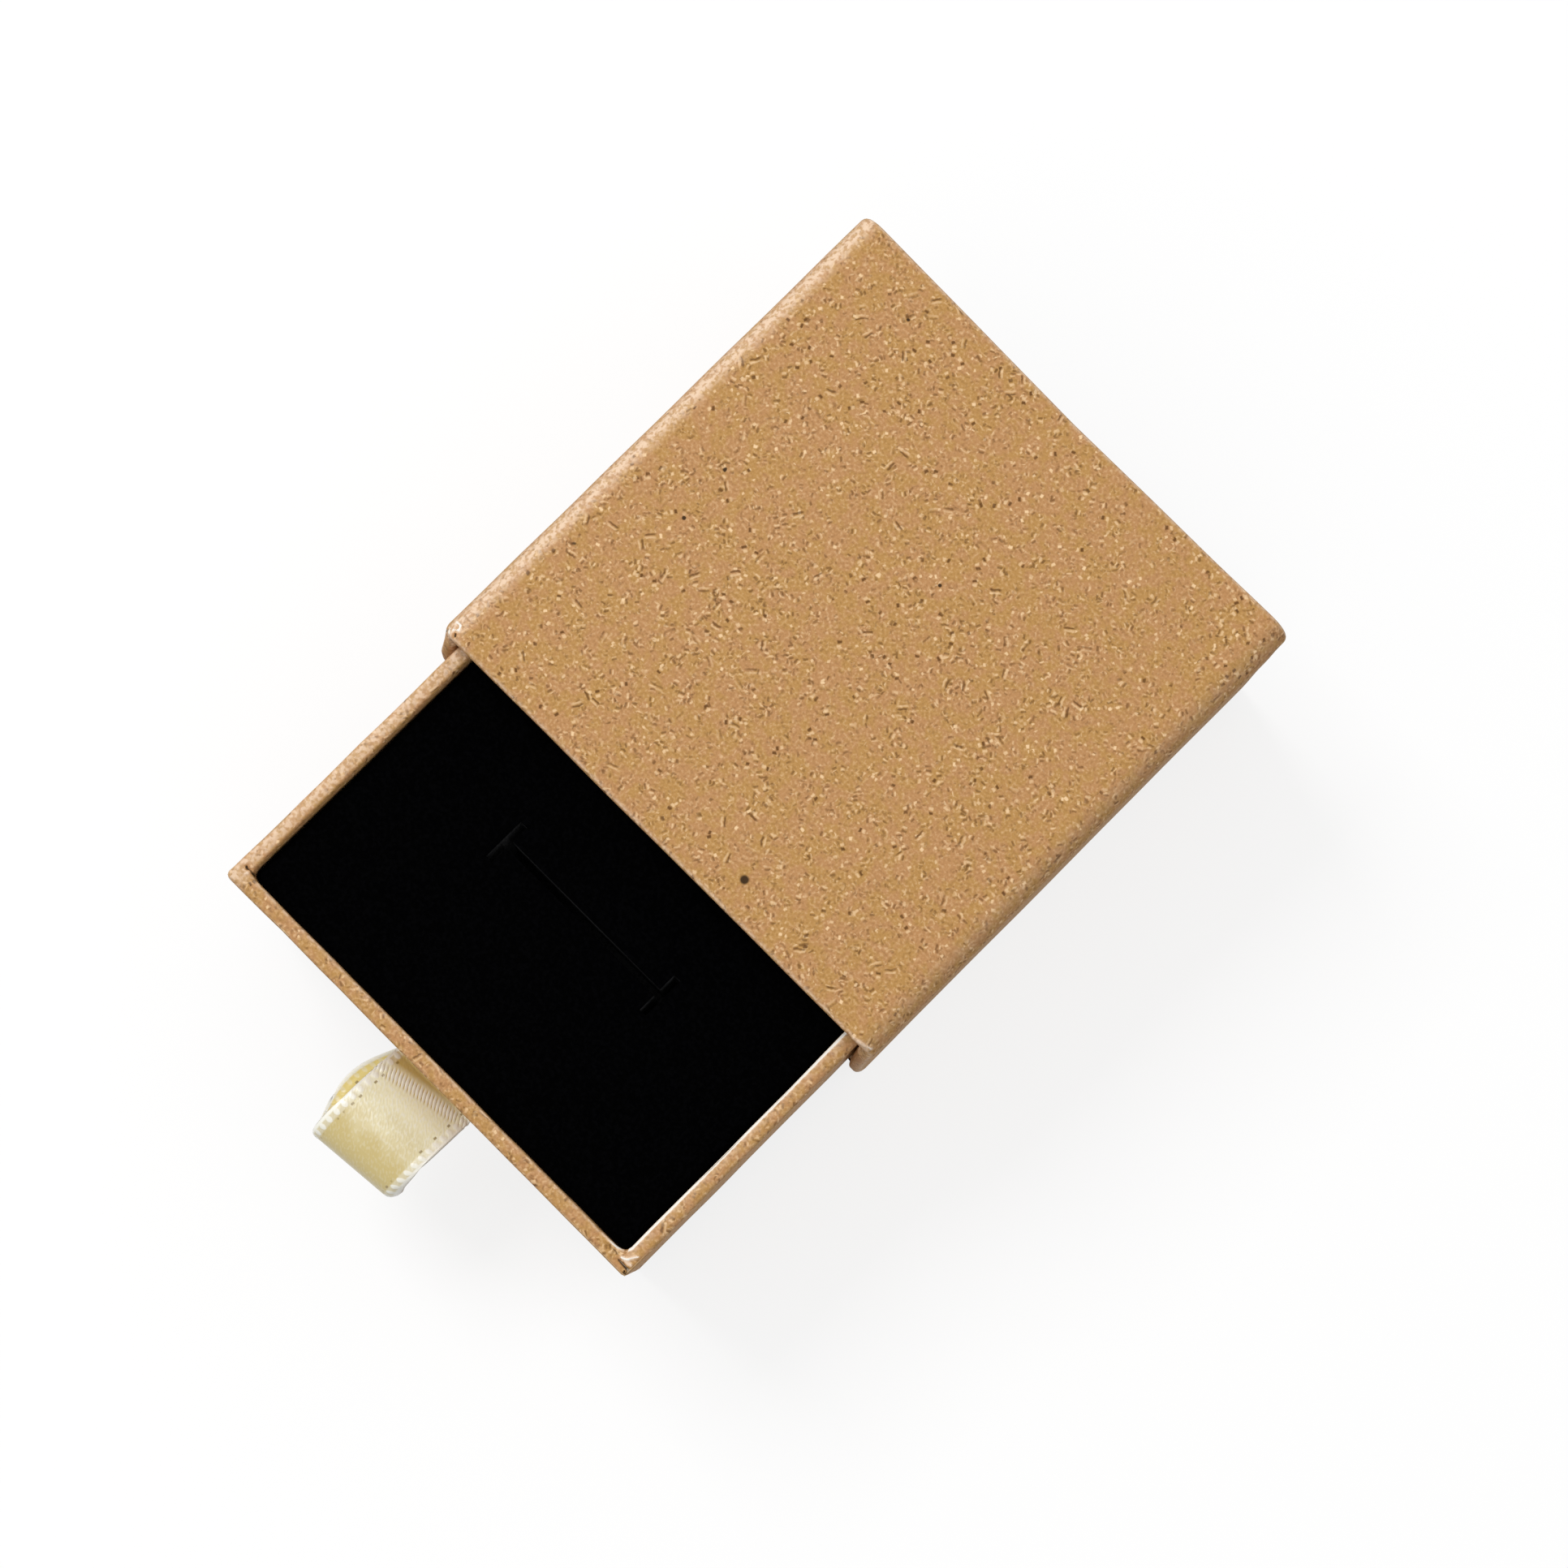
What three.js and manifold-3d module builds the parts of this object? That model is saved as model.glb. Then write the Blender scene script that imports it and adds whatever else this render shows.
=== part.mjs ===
// Sliding drawer gift box: a kraft-wrapped board sleeve, a drawer pulled half way out of it, a
// velvet pad with a slit for what it holds, and a satin ribbon loop as the drawer's pull.
// Millimetres, +Z up. The drawer opens towards -Y. The origin is the middle of the sleeve's
// underside, on the surface that the box stands on.

import * as THREE from 'three';
import { mergeVertices } from 'three/addons/utils/BufferGeometryUtils.js';
import Module from 'manifold-3d';

const wasm = await Module();
wasm.setup();

// Sleeve
const sleeveWidth = 56;
const sleeveLength = 55;
const sleeveHeight = 33;
const sleeveFoldRadius = 2.4;
const sleeveTurnIn = 12;
const bottomSheetMargin = 1.5;
const wrapSeamGap = 0.5;

// Boards, papers and glue
const boardThickness = 1.2;
const paperThickness = 0.16;
const glueFilm = 0.1;

// Drawer
const drawerLength = 54.6;
const drawerPulledOut = 30;
const drawerHeadroom = 2;
const sideRunningGap = 0.2;
const underRunningGap = 0.3;
const drawerTurnIn = 12;
const cornerStayLeg = 8;
const baseLiningMargin = 0.6;

// Ribbon pull
const ribbonWidth = 10;
const ribbonThickness = 0.3;
const ribbonSlotBelowRim = 14.3;
const ribbonSlotGap = 0.2;
const ribbonTailLength = 6;
const ribbonTapeMargin = 1;
const ribbonTapeThickness = 0.1;
const loopReach = 11.3;
const loopHalfHeight = 2.9;
const loopRootGap = 0.5;
const loopSteps = 24;

// Pad
const padGap = 0.3;
const padRecess = 1.2;
const velvetThickness = 0.5;
const velvetTurnDown = 5;
const padSlitLength = 21;
const padSlitWidth = 0.8;
const padSlitDepth = 14;
const padSlitCross = 4.5;
const padSlitSetback = 20.5;

// How far a cutting block runs past the piece that it cuts.
const overrun = 1;

// Flat steps in a quarter round of the sleeve's long edges.
const cornerSteps = 6;

const kraftPaper = new THREE.MeshStandardMaterial({ color: 0xb98a58, roughness: 0.85, metalness: 0 });
const greyBoard = new THREE.MeshStandardMaterial({ color: 0x9b9184, roughness: 0.95, metalness: 0 });
const gummedPaper = new THREE.MeshStandardMaterial({ color: 0xcaa678, roughness: 0.8, metalness: 0 });
const blackVelvet = new THREE.MeshStandardMaterial({ color: 0x060606, roughness: 1, metalness: 0 });
const blackFoam = new THREE.MeshStandardMaterial({ color: 0x141414, roughness: 1, metalness: 0 });
const creamSatin = new THREE.MeshStandardMaterial({ color: 0xe3d695, roughness: 0.4, metalness: 0 });

// A square-edged block between its lowest and highest corners.
function block(low, high) {
  const geometry = new THREE.BoxGeometry();
  const corners = geometry.attributes.position;
  for (let i = 0; i < corners.count; i += 1) {
    corners.setXYZ(
      i,
      corners.getX(i) < 0 ? low[0] : high[0],
      corners.getY(i) < 0 ? low[1] : high[1],
      corners.getZ(i) < 0 ? low[2] : high[2],
    );
  }
  return geometry;
}

// An outline in X and Z, drawn out along Y between two planes.
function drawAlongY(outline, yLow, yHigh) {
  const geometry = new THREE.ExtrudeGeometry(outline, {
    depth: yHigh - yLow,
    bevelEnabled: false,
    curveSegments: cornerSteps,
  });
  geometry.rotateX(Math.PI / 2);
  geometry.translate(0, yHigh, 0);
  return geometry;
}

// An outline in Y and Z, drawn out to both sides of the middle along X.
function drawAlongX(outline, width) {
  const geometry = new THREE.ExtrudeGeometry(outline, { depth: width, bevelEnabled: false });
  const turn = new THREE.Matrix4().makeBasis(
    new THREE.Vector3(0, 1, 0),
    new THREE.Vector3(0, 0, 1),
    new THREE.Vector3(1, 0, 0),
  );
  geometry.applyMatrix4(turn);
  geometry.translate(-width / 2, 0, 0);
  return geometry;
}

function toSolid(geometry) {
  const bare = geometry.clone();
  bare.deleteAttribute('normal');
  bare.deleteAttribute('uv');
  const merged = mergeVertices(bare);
  return new wasm.Manifold(new wasm.Mesh({
    numProp: 3,
    vertProperties: new Float32Array(merged.attributes.position.array),
    triVerts: new Uint32Array(merged.index.array),
  }));
}

function toGeometry(solid) {
  const mesh = solid.getMesh();
  const geometry = new THREE.BufferGeometry();
  geometry.setAttribute('position', new THREE.BufferAttribute(new Float32Array(mesh.vertProperties), 3));
  geometry.setIndex(new THREE.BufferAttribute(new Uint32Array(mesh.triVerts), 1));
  geometry.computeVertexNormals();
  return geometry;
}

function cutAway(solid, tools) {
  return tools.reduce((rest, tool) => rest.subtract(toSolid(tool)), solid);
}

function addTo(group, name, geometry, material) {
  const mesh = new THREE.Mesh(geometry, material);
  mesh.name = name;
  group.add(mesh);
}

// The layers of the sleeve's walls, from the outside in: wrap, glue, board, turned-in wrap.
// The underside has the bottom sheet below its wrap.
const sleeveEnd = sleeveLength / 2;
const wrapOuterX = sleeveWidth / 2;
const wrapInnerX = wrapOuterX - paperThickness;
const boardOuterX = wrapInnerX - glueFilm;
const boardInnerX = boardOuterX - boardThickness;
const turnInInnerX = boardInnerX - paperThickness;
const wrapInnerEnd = sleeveEnd - paperThickness;
const boardEnd = wrapInnerEnd - glueFilm;
const wrapBottom = paperThickness;
const wrapBottomInner = wrapBottom + paperThickness;
const boardBottom = wrapBottomInner + glueFilm;
const boardFloor = boardBottom + boardThickness;
const sleeveFloor = boardFloor + paperThickness;
const wrapTopInner = sleeveHeight - paperThickness;
const boardTop = wrapTopInner - glueFilm;
const boardCeiling = boardTop - boardThickness;
const sleeveCeiling = boardCeiling - paperThickness;

// A section in X and Z with four rounded corners.
function roundedSection(halfWidth, zLow, zHigh, radius) {
  const outline = new THREE.Shape();
  const quarter = Math.PI / 2;
  outline.absarc(halfWidth - radius, zLow + radius, radius, -quarter, 0);
  outline.absarc(halfWidth - radius, zHigh - radius, radius, 0, quarter);
  outline.absarc(-halfWidth + radius, zHigh - radius, radius, quarter, 2 * quarter);
  outline.absarc(-halfWidth + radius, zLow + radius, radius, 2 * quarter, 3 * quarter);
  return outline;
}

// Top and bottom boards run the full width and the sides stand between them. The long edges are
// rounded through both.
function makeSleeveBoards(group) {
  const radius = sleeveFoldRadius - paperThickness - glueFilm;
  const outline = roundedSection(boardOuterX, boardBottom, boardTop, radius);
  const round = toSolid(drawAlongY(outline, -boardEnd, boardEnd));
  const boards = [
    ['sleeve_top_board', [-boardOuterX, boardCeiling], [boardOuterX, boardTop]],
    ['sleeve_bottom_board', [-boardOuterX, boardBottom], [boardOuterX, boardFloor]],
    ['sleeve_left_board', [-boardOuterX, boardFloor], [-boardInnerX, boardCeiling]],
    ['sleeve_right_board', [boardInnerX, boardFloor], [boardOuterX, boardCeiling]],
  ];
  for (const [name, [xLow, zLow], [xHigh, zHigh]] of boards) {
    const square = toSolid(block([xLow, -boardEnd, zLow], [xHigh, boardEnd, zHigh]));
    addTo(group, name, toGeometry(square.intersect(round)), greyBoard);
  }
}

// One sheet round the four boards. It covers their ends and runs on inside at both mouths.
// Its two edges meet along the middle of the underside.
function makeSleeveWrap(group) {
  const innerRadius = sleeveFoldRadius - paperThickness;
  const outer = roundedSection(wrapOuterX, wrapBottom, sleeveHeight, sleeveFoldRadius);
  const inner = roundedSection(wrapInnerX, wrapBottomInner, wrapTopInner, innerRadius);
  const shell = cutAway(
    toSolid(drawAlongY(outer, -sleeveEnd, sleeveEnd)),
    [drawAlongY(inner, -wrapInnerEnd, wrapInnerEnd)],
  );
  const turnInStart = sleeveEnd - paperThickness / 2;
  const turnInEnd = sleeveEnd - sleeveTurnIn;
  const frontTurnIn = block(
    [-boardInnerX, -turnInStart, boardFloor],
    [boardInnerX, -turnInEnd, boardCeiling],
  );
  const backTurnIn = block(
    [-boardInnerX, turnInEnd, boardFloor],
    [boardInnerX, turnInStart, boardCeiling],
  );
  const mouth = block(
    [-turnInInnerX, -sleeveEnd - overrun, sleeveFloor],
    [turnInInnerX, sleeveEnd + overrun, sleeveCeiling],
  );
  const seam = block(
    [-wrapSeamGap / 2, -sleeveEnd - overrun, -overrun],
    [wrapSeamGap / 2, sleeveEnd + overrun, sleeveFloor + overrun],
  );
  const wrapped = shell.add(toSolid(frontTurnIn)).add(toSolid(backTurnIn));
  addTo(group, 'sleeve_wrap', toGeometry(cutAway(wrapped, [mouth, seam])), kraftPaper);
}

// The sheet under the box hides the wrap's meeting edges, and the box stands on it.
function makeBottomSheet(group) {
  const halfWidth = wrapOuterX - bottomSheetMargin;
  const halfLength = sleeveEnd - bottomSheetMargin;
  const sheet = block([-halfWidth, -halfLength, 0], [halfWidth, halfLength, wrapBottom]);
  addTo(group, 'sleeve_bottom_sheet', sheet, kraftPaper);
}

// The layers of the drawer's walls, from the outside in: wrap, glue film or corner stay, board,
// turned-in wrap. Places are taken from the middle of the drawer's length.
const trayOuterX = turnInInnerX - sideRunningGap;
const trayWrapInnerX = trayOuterX - paperThickness;
const trayBoardOuterX = trayWrapInnerX - glueFilm;
const trayBoardInnerX = trayBoardOuterX - boardThickness;
const trayInnerX = trayBoardInnerX - paperThickness;
const trayOuterY = drawerLength / 2;
const trayWrapInnerY = trayOuterY - paperThickness;
const trayBoardOuterY = trayWrapInnerY - glueFilm;
const trayBoardInnerY = trayBoardOuterY - boardThickness;
const trayInnerY = trayBoardInnerY - paperThickness;
const trayBottom = sleeveFloor + underRunningGap;
const trayWrapFloor = trayBottom + paperThickness;
const trayBoardBottom = trayWrapFloor + glueFilm;
const trayBoardFloor = trayBoardBottom + boardThickness;
const trayFloor = trayBoardFloor + paperThickness;
const trayRim = sleeveCeiling - drawerHeadroom;
const trayBoardRim = trayRim - paperThickness;

// The ribbon's slot goes through the front wall. Its two plies lie pressed together in it.
const slotLevel = trayRim - ribbonSlotBelowRim;
const ribbonHalfWidth = ribbonWidth / 2;
const slotHalfWidth = ribbonHalfWidth + ribbonSlotGap;
const slotHalfHeight = ribbonThickness + ribbonSlotGap;
const ribbonSlot = block(
  [-slotHalfWidth, -trayOuterY - overrun, slotLevel - slotHalfHeight],
  [slotHalfWidth, -trayBoardInnerY + overrun, slotLevel + slotHalfHeight],
);

// The base is a full board. The side walls stand on it, with the front and back walls between them.
function makeTrayBoards(group) {
  const base = block(
    [-trayBoardOuterX, -trayBoardOuterY, trayBoardBottom],
    [trayBoardOuterX, trayBoardOuterY, trayBoardFloor],
  );
  const left = block(
    [-trayBoardOuterX, -trayBoardOuterY, trayBoardFloor],
    [-trayBoardInnerX, trayBoardOuterY, trayBoardRim],
  );
  const right = block(
    [trayBoardInnerX, -trayBoardOuterY, trayBoardFloor],
    [trayBoardOuterX, trayBoardOuterY, trayBoardRim],
  );
  const front = block(
    [-trayBoardInnerX, -trayBoardOuterY, trayBoardFloor],
    [trayBoardInnerX, -trayBoardInnerY, trayBoardRim],
  );
  const back = block(
    [-trayBoardInnerX, trayBoardInnerY, trayBoardFloor],
    [trayBoardInnerX, trayBoardOuterY, trayBoardRim],
  );
  addTo(group, 'tray_base_board', base, greyBoard);
  addTo(group, 'tray_left_board', left, greyBoard);
  addTo(group, 'tray_right_board', right, greyBoard);
  addTo(group, 'tray_front_board', toGeometry(cutAway(toSolid(front), [ribbonSlot])), greyBoard);
  addTo(group, 'tray_back_board', back, greyBoard);
}

// Paper angles glued round the outside of the four corners, under the wrap.
function makeCornerStays(group) {
  const corners = [
    ['corner_stay_front_left', -1, -1],
    ['corner_stay_front_right', 1, -1],
    ['corner_stay_back_left', -1, 1],
    ['corner_stay_back_right', 1, 1],
  ];
  const legEndX = trayBoardOuterX - cornerStayLeg;
  const legEndY = trayBoardOuterY - cornerStayLeg;
  for (const [name, sideX, sideY] of corners) {
    const outline = new THREE.Shape();
    outline.moveTo(sideX * trayWrapInnerX, sideY * trayWrapInnerY);
    outline.lineTo(sideX * legEndX, sideY * trayWrapInnerY);
    outline.lineTo(sideX * legEndX, sideY * trayBoardOuterY);
    outline.lineTo(sideX * trayBoardOuterX, sideY * trayBoardOuterY);
    outline.lineTo(sideX * trayBoardOuterX, sideY * legEndY);
    outline.lineTo(sideX * trayWrapInnerX, sideY * legEndY);
    const height = trayBoardRim - trayBoardBottom;
    const stay = new THREE.ExtrudeGeometry(outline, { depth: height, bevelEnabled: false });
    stay.translate(0, 0, trayBoardBottom);
    addTo(group, name, stay, gummedPaper);
  }
}

// One sheet over the drawer's underside and walls, turned over the rim and down the inside.
function makeTrayWrap(group) {
  const outside = block(
    [-trayOuterX, -trayOuterY, trayBottom],
    [trayOuterX, trayOuterY, trayRim],
  );
  const boards = block(
    [-trayWrapInnerX, -trayWrapInnerY, trayWrapFloor],
    [trayWrapInnerX, trayWrapInnerY, trayBoardRim],
  );
  const turnIn = block(
    [-trayBoardInnerX, -trayBoardInnerY, trayRim - drawerTurnIn],
    [trayBoardInnerX, trayBoardInnerY, trayRim - paperThickness / 2],
  );
  const hollow = block(
    [-trayInnerX, -trayInnerY, trayRim - drawerTurnIn - overrun],
    [trayInnerX, trayInnerY, trayRim + overrun],
  );
  const shell = cutAway(toSolid(outside), [boards]).add(toSolid(turnIn));
  addTo(group, 'tray_wrap', toGeometry(cutAway(shell, [hollow, ribbonSlot])), kraftPaper);
}

function makeBaseLining(group) {
  const halfWidth = trayBoardInnerX - baseLiningMargin;
  const halfLength = trayBoardInnerY - baseLiningMargin;
  const sheet = block(
    [-halfWidth, -halfLength, trayBoardFloor],
    [halfWidth, halfLength, trayFloor],
  );
  addTo(group, 'tray_base_lining', sheet, kraftPaper);
}

// The loop's two ends go through the slot together and part behind the wall, one up and one down.
function makeRibbonTails(group) {
  const tailFace = -trayInnerY + ribbonThickness;
  const tailTop = slotLevel + ribbonTailLength;
  const tailBottom = slotLevel - ribbonTailLength;
  const outline = new THREE.Shape();
  outline.moveTo(-trayOuterY, slotLevel - ribbonThickness);
  outline.lineTo(-trayInnerY, slotLevel - ribbonThickness);
  outline.lineTo(-trayInnerY, tailBottom);
  outline.lineTo(tailFace, tailBottom);
  outline.lineTo(tailFace, tailTop);
  outline.lineTo(-trayInnerY, tailTop);
  outline.lineTo(-trayInnerY, slotLevel + ribbonThickness);
  outline.lineTo(-trayOuterY, slotLevel + ribbonThickness);
  addTo(group, 'ribbon_tails', drawAlongX(outline, ribbonWidth), creamSatin);
  const tapeHalfWidth = ribbonHalfWidth + ribbonTapeMargin;
  const tape = block(
    [-tapeHalfWidth, tailFace, tailBottom - ribbonTapeMargin],
    [tapeHalfWidth, tailFace + ribbonTapeThickness, tailTop + ribbonTapeMargin],
  );
  addTo(group, 'ribbon_tape', tape, gummedPaper);
}

// The pad's slit is one long cut, with a short cut across each of its ends.
function padSlitTools(zLow, zHigh) {
  const middleY = -trayOuterY + padSlitSetback;
  const halfWidth = padSlitWidth / 2;
  const halfLength = padSlitLength / 2;
  const halfCross = padSlitCross / 2;
  const tools = [
    block([-halfLength, middleY - halfWidth, zLow], [halfLength, middleY + halfWidth, zHigh]),
  ];
  for (const side of [-1, 1]) {
    const crossX = side * (halfLength - halfWidth);
    tools.push(block(
      [crossX - halfWidth, middleY - halfCross, zLow],
      [crossX + halfWidth, middleY + halfCross, zHigh],
    ));
  }
  return tools;
}

// A foam block on the lining, and velvet glued over its face and turned down its sides.
function makePad(group) {
  const padTop = trayRim - padRecess;
  const foamTop = padTop - velvetThickness;
  const padX = trayInnerX - padGap;
  const padY = trayInnerY - padGap;
  const foamX = padX - velvetThickness;
  const foamY = padY - velvetThickness;
  const slit = padSlitTools(foamTop - padSlitDepth, padTop + overrun);
  const foam = block([-foamX, -foamY, trayFloor], [foamX, foamY, foamTop]);
  addTo(group, 'foam_pad', toGeometry(cutAway(toSolid(foam), slit)), blackFoam);
  const turnDownEnd = padTop - velvetTurnDown;
  const sheet = block([-padX, -padY, turnDownEnd], [padX, padY, padTop]);
  const filling = block([-foamX, -foamY, turnDownEnd - overrun], [foamX, foamY, foamTop]);
  const velvet = cutAway(toSolid(sheet), [filling, ...slit]);
  addTo(group, 'pad_velvet', toGeometry(velvet), blackVelvet);
}

// A point of the loop's middle line, and the way across the ribbon there. The line leaves the
// root, swells to its full height and comes round to the root again as a drop shape.
function loopPoint(turn, reach, swell) {
  const outward = reach * (1 - Math.cos(turn)) / 2;
  const upward = swell * Math.sin(turn) * Math.sin(turn / 2);
  const outwardRate = reach * Math.sin(turn) / 2;
  const rise = Math.cos(turn) * Math.sin(turn / 2) + Math.sin(turn) * Math.cos(turn / 2) / 2;
  const upwardRate = swell * rise;
  const rate = Math.hypot(outwardRate, upwardRate);
  return {
    middle: new THREE.Vector2(-outward, upward),
    across: new THREE.Vector2(upwardRate / rate, outwardRate / rate),
  };
}

function makeRibbonLoop(group) {
  const reach = loopReach - loopRootGap - ribbonThickness / 2;
  const fullHeightShare = 4 / (3 * Math.sqrt(3));
  const swell = loopHalfHeight / fullHeightShare;
  const firstTurn = Math.sqrt(2 * ribbonThickness / swell);
  const turns = 2 * Math.PI - 2 * firstTurn;
  const outside = [];
  const inside = [];
  for (let step = 0; step <= loopSteps; step += 1) {
    const point = loopPoint(firstTurn + turns * step / loopSteps, reach, swell);
    const half = point.across.clone().multiplyScalar(ribbonThickness / 2);
    outside.push(point.middle.clone().add(half));
    inside.push(point.middle.clone().sub(half));
  }
  const outline = new THREE.Shape([...outside, ...inside.reverse()]);
  const loop = drawAlongX(outline, ribbonWidth);
  loop.translate(0, -trayOuterY - loopRootGap, slotLevel);
  addTo(group, 'ribbon_loop', loop, creamSatin);
}

const giftBox = new THREE.Group();

const sleeve = new THREE.Group();
makeSleeveBoards(sleeve);
makeSleeveWrap(sleeve);
makeBottomSheet(sleeve);
giftBox.add(sleeve);

// Pushed home, the drawer's front is flush with the sleeve's mouth.
const drawer = new THREE.Group();
drawer.position.y = trayOuterY - sleeveEnd - drawerPulledOut;
makeTrayBoards(drawer);
makeCornerStays(drawer);
makeTrayWrap(drawer);
makeBaseLining(drawer);
makeRibbonTails(drawer);
makePad(drawer);
makeRibbonLoop(drawer);
giftBox.add(drawer);

export default giftBox;
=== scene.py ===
from math import cos, exp, hypot, pi, radians, sin, sqrt

import bmesh
import bpy
from mathutils import Matrix, Vector, noise
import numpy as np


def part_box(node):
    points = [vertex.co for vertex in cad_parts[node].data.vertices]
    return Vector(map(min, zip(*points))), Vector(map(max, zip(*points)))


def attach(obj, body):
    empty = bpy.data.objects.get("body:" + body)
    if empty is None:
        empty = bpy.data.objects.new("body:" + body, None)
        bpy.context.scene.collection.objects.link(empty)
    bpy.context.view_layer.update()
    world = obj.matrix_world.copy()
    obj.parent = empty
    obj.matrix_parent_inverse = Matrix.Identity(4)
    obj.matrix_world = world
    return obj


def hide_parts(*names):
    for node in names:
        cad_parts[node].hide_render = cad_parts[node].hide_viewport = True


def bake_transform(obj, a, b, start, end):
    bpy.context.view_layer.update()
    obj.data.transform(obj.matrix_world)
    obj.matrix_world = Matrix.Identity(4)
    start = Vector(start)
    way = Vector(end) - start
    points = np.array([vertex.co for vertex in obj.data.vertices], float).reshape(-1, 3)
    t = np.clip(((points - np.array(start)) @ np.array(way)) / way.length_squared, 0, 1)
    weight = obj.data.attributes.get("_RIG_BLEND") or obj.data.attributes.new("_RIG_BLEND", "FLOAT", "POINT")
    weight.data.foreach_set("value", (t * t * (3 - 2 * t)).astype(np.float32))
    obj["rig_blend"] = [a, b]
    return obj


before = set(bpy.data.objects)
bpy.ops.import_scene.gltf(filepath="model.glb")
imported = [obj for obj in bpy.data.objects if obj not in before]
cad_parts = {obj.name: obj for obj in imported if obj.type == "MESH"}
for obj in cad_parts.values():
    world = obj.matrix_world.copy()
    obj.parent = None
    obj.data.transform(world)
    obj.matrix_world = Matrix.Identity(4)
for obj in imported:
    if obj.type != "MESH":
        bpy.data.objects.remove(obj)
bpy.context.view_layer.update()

# The camera
# The box is seen from high above its right front corner, through a long lens. The picture's up
# direction is the level direction from the ribbon's left to the sleeve's back left corner.
mm = 0.001
camera_place = Vector((30.91 * mm, -43.17 * mm, 342.8 * mm))
camera_aim = Vector((4.74 * mm, -15.42 * mm, 33 * mm))
picture_up_angle = radians(134.91)
photo_width = 1932
lens_in_pixels = 4200
sensor_width = 36

camera_data = bpy.data.cameras.new("camera")
camera_data.sensor_width = sensor_width
camera_data.lens = lens_in_pixels * sensor_width / photo_width
camera = bpy.data.objects.new("camera", camera_data)
bpy.context.scene.collection.objects.link(camera)
forward = (camera_aim - camera_place).normalized()
picture_up = Vector((cos(picture_up_angle), sin(picture_up_angle), 0))
picture_right = forward.cross(picture_up).normalized()
turn = Matrix((picture_right, picture_right.cross(forward), -forward)).transposed()
camera.matrix_world = Matrix.Translation(camera_place) @ turn.to_4x4()
bpy.context.scene.camera = camera


# The studio
# A white table top under an even white sky, with one soft lamp on the box's left. What the
# camera sees of the table is lifted to white, and keeps the box's shadow. The table throws back
# less light than a white one would, so that the box's sides stay darker than its top.
table_size = 4.0
table_white = 0.88
table_light = 0.14
table_lift_share = 0.74
table_lift = 1.06
sky_level = 0.62
lamp_way = Vector((-1.0, 0.06, 1.25)).normalized()
lamp_distance = 1.0
lamp_size = 0.42
lamp_power = 5.0


def node(tree, kind, inputs=None, **settings):
    """A node with its settings, and each input set to a value or linked to a socket."""
    made = tree.nodes.new(kind)
    for name, value in settings.items():
        setattr(made, name, value)
    for key, value in (inputs or {}).items():
        if isinstance(value, bpy.types.NodeSocket):
            tree.links.new(value, made.inputs[key])
        else:
            made.inputs[key].default_value = value
    return made


def number(tree, operation, first, second=0.5):
    """The outcome of an operation on one number or two."""
    return node(tree, "ShaderNodeMath", {0: first, 1: second}, operation=operation).outputs[0]


def times(tree, first, second):
    return number(tree, "MULTIPLY", first, second)


def seen_directly(tree):
    """1 for what the camera sees itself, in a mirror or through glass, and 0 for lighting."""
    ray = node(tree, "ShaderNodeLightPath").outputs
    seen = number(tree, "MAXIMUM", ray["Is Camera Ray"], ray["Is Glossy Ray"])
    return number(tree, "MAXIMUM", seen, ray["Is Transmission Ray"])


table_mesh = bmesh.new()
bmesh.ops.create_grid(table_mesh, x_segments=1, y_segments=1, size=table_size / 2)
table_data = bpy.data.meshes.new("table_top")
table_mesh.to_mesh(table_data)
table_mesh.free()
table_top = bpy.data.objects.new("table_top", table_data)
bpy.context.scene.collection.objects.link(table_top)

table_paint = bpy.data.materials.new("table_paint")
table_paint.use_nodes = True
tree = table_paint.node_tree
tree.nodes.clear()
table_tone = node(tree, "ShaderNodeMapRange", {"Value": seen_directly(tree),
                                               "To Min": table_light, "To Max": table_white})
matt = node(tree, "ShaderNodeBsdfDiffuse", {"Color": table_tone.outputs[0]})
lift = node(tree, "ShaderNodeEmission", {"Strength": table_lift})
lift_share = times(tree, seen_directly(tree), table_lift_share)
both = node(tree, "ShaderNodeMixShader", {0: lift_share, 1: matt.outputs[0], 2: lift.outputs[0]})
node(tree, "ShaderNodeOutputMaterial", {"Surface": both.outputs[0]})
table_data.materials.append(table_paint)

sky = bpy.data.worlds.new("sky")
bpy.context.scene.world = sky
sky.use_nodes = True
tree = sky.node_tree
tree.nodes.clear()
sky_strength = node(tree, "ShaderNodeMapRange", {"Value": seen_directly(tree),
                                                 "To Min": sky_level, "To Max": 1.0})
sky_glow = node(tree, "ShaderNodeBackground", {"Color": (1, 1, 1, 1),
                                               "Strength": sky_strength.outputs[0]})
node(tree, "ShaderNodeOutputWorld", {"Surface": sky_glow.outputs[0]})

lamp_data = bpy.data.lights.new("soft_lamp", "AREA")
lamp_data.shape = "SQUARE"
lamp_data.size = lamp_size
lamp_data.energy = lamp_power
lamp = bpy.data.objects.new("soft_lamp", lamp_data)
bpy.context.scene.collection.objects.link(lamp)
lamp.location = camera_aim + lamp_way * lamp_distance
lamp.rotation_mode = "QUATERNION"
lamp.rotation_quaternion = lamp_way.to_track_quat("Z", "Y")
bpy.context.scene.view_settings.view_transform = "Standard"


# The sleeve's boards
# Four panels of greyboard, pressed from mixed waste paper, so grey-brown with pale and dark
# flecks. They are glued into a tube, whose long edges are rounded under the wrap.
board_grey = (0.300, 0.245, 0.180, 1)
board_brown = (0.350, 0.275, 0.190, 1)
board_dark = (0.060, 0.045, 0.032, 1)
board_pale = (0.560, 0.500, 0.410, 1)
board_cloud_size = 1.6 * mm
board_grain_size = 0.2 * mm
board_relief = 0.05 * mm
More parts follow.
